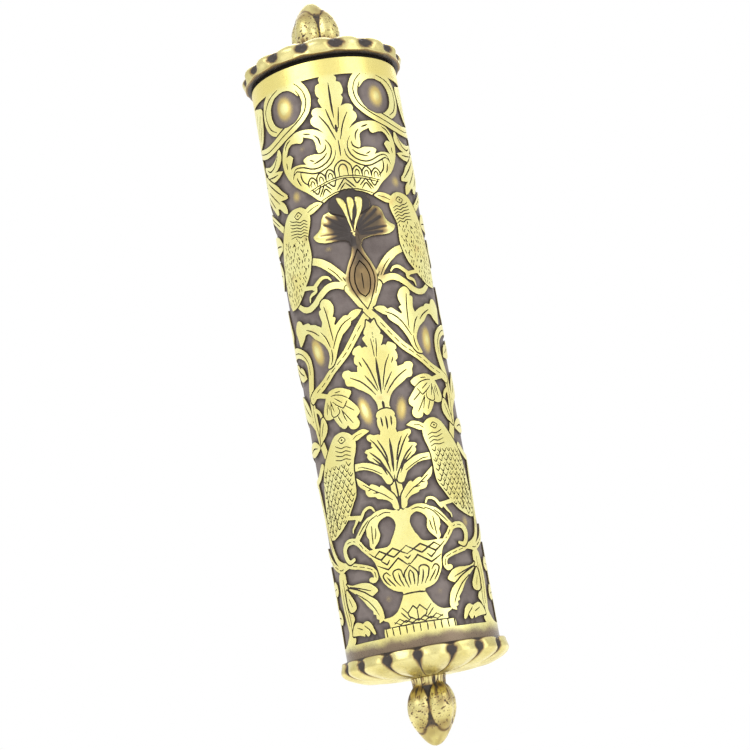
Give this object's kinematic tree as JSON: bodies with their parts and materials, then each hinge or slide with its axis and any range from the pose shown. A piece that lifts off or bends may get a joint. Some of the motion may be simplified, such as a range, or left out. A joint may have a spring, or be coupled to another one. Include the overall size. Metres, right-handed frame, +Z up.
{
  "type": "mezuzah case",
  "caption": "Tubular etched brass case for a rolled parchment, with lobed cast caps, bud finials and a push-fit lid, nailed to a doorpost through its back.",
  "frame": {"origin": "on the tube's axis, half-way between the two cap seats, 0.55 mm above the middle of the whole case", "axes": "+Z up the tube towards the push-fit lid, -Y the side that faces the room, +Y the back with the seam and the nail holes"},
  "size_m": [0.0303, 0.0302, 0.1431],
  "materials": {
    "etched_brass": "polished figures on a dark patinated ground",
    "cast_brass": "cast and rubbed bright, dark in the hollows",
    "plain_brass": "satin, tarnished",
    "parchment": "matt vellum",
    "linen": "fine plain weave",
    "ribbon": "woven ribbon"
  },
  "bodies": {
    "case": {"tube": "etched_brass", "seam_strip": "plain_brass", "bottom_cap": "cast_brass", "bottom_collar": "plain_brass", "bottom_finial": "cast_brass", "bottom_washer": "plain_brass", "bottom_nut": "plain_brass"},
    "lid": {"top_cap": "cast_brass", "top_collar": "plain_brass", "top_finial": "cast_brass", "top_washer": "plain_brass", "top_nut": "plain_brass"},
    "scroll": {"parchment_scroll": "parchment", "scroll_wrap": "linen", "scroll_ribbons": "ribbon"}
  },
  "joints": [
    {"name": "lid_slide", "type": "slide", "parent": "case", "child": "lid", "axis": [0, 0, 1], "range_m": [0, 0.03]},
    {"name": "scroll_slide", "type": "slide", "parent": "case", "child": "scroll", "axis": [0, 0, 1], "range_m": [0, 0.011]}
  ]
}
